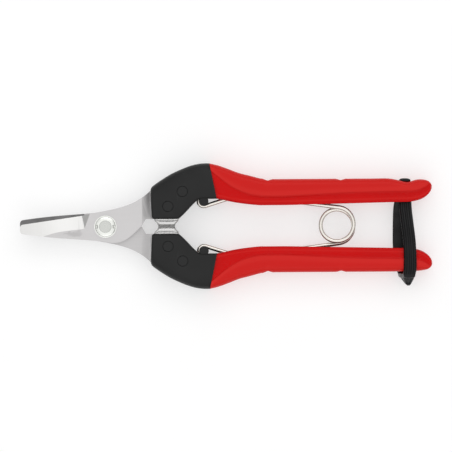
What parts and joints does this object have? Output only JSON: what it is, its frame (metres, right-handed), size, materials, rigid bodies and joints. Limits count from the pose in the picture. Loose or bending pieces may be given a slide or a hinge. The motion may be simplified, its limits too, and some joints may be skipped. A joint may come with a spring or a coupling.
{
  "type": "garden snips",
  "caption": "Spring-opened garden snips with long crossing steel blades, red sleeved handles joined by black guards, a coiled wire spring and a rubber closing strap.",
  "frame": {"origin": "middle of the bottom of the whole tool, which lies flat on its side", "axes": "+X along the handles away from the blades, +Y towards the handle of the front blade, +Z out of the face of the tool"},
  "size_m": [0.19, 0.058, 0.0142],
  "materials": {
    "blade_steel": "brushed",
    "channel_steel": "satin",
    "pad_steel": "polished",
    "guard_plastic": "satin",
    "rivet_steel": "satin",
    "peg_steel": "satin",
    "sleeve_vinyl": "gloss",
    "bolt_steel": "polished",
    "washer_steel": "satin",
    "spring_wire": "polished",
    "strap_rubber": "satin"
  },
  "bodies": {
    "lower_half": {"lower_blade": "blade_steel", "lower_channel": "channel_steel", "lower_stop_pad": "pad_steel", "lower_guard_front": "guard_plastic", "lower_guard_rear": "guard_plastic", "lower_rivets": "rivet_steel", "lower_spring_peg": "peg_steel", "lower_sleeve": "sleeve_vinyl", "pivot_bolt": "bolt_steel", "pivot_washer": "washer_steel", "pivot_nut": "bolt_steel"},
    "upper_half": {"upper_blade": "blade_steel", "upper_channel": "channel_steel", "upper_stop_pad": "pad_steel", "upper_guard_front": "guard_plastic", "upper_guard_rear": "guard_plastic", "upper_rivets": "rivet_steel", "upper_spring_peg": "peg_steel", "upper_sleeve": "sleeve_vinyl", "strap_knob": "strap_rubber"},
    "spring_rear": {"spring_rear": "spring_wire"},
    "spring_front": {"spring_front": "spring_wire"},
    "strap": {"closing_strap": "strap_rubber"}
  },
  "joints": [
    {"name": "pivot", "type": "hinge", "parent": "lower_half", "child": "upper_half", "pos_m": [-0.0556, 0, 0.0071], "axis": [0, 0, 1], "range_deg": [0, 24], "deforming": ["closing_strap"]},
    {"name": "spring_rear_hook", "type": "hinge", "parent": "lower_half", "child": "spring_rear", "pos_m": [-0.0102, -0.0115, 0.0071], "axis": [0, 0, 1], "range_deg": [0, 20.8]},
    {"name": "spring_coil", "type": "hinge", "parent": "spring_rear", "child": "spring_front", "pos_m": [0.0513, 0, 0.0071], "axis": [0, 0, 1], "range_deg": [-17.6, 0]},
    {"name": "strap_swing", "type": "hinge", "parent": "upper_half", "child": "strap", "pos_m": [0.083, 0.0134, 0.0071], "axis": [0, 0, 1], "range_deg": [0, 45], "deforming": ["closing_strap"]}
  ],
  "couplings": [
    {"joint": "spring_rear_hook", "follows": "pivot", "ratio": 0.8632},
    {"joint": "spring_coil", "follows": "pivot", "ratio": -0.7264}
  ]
}
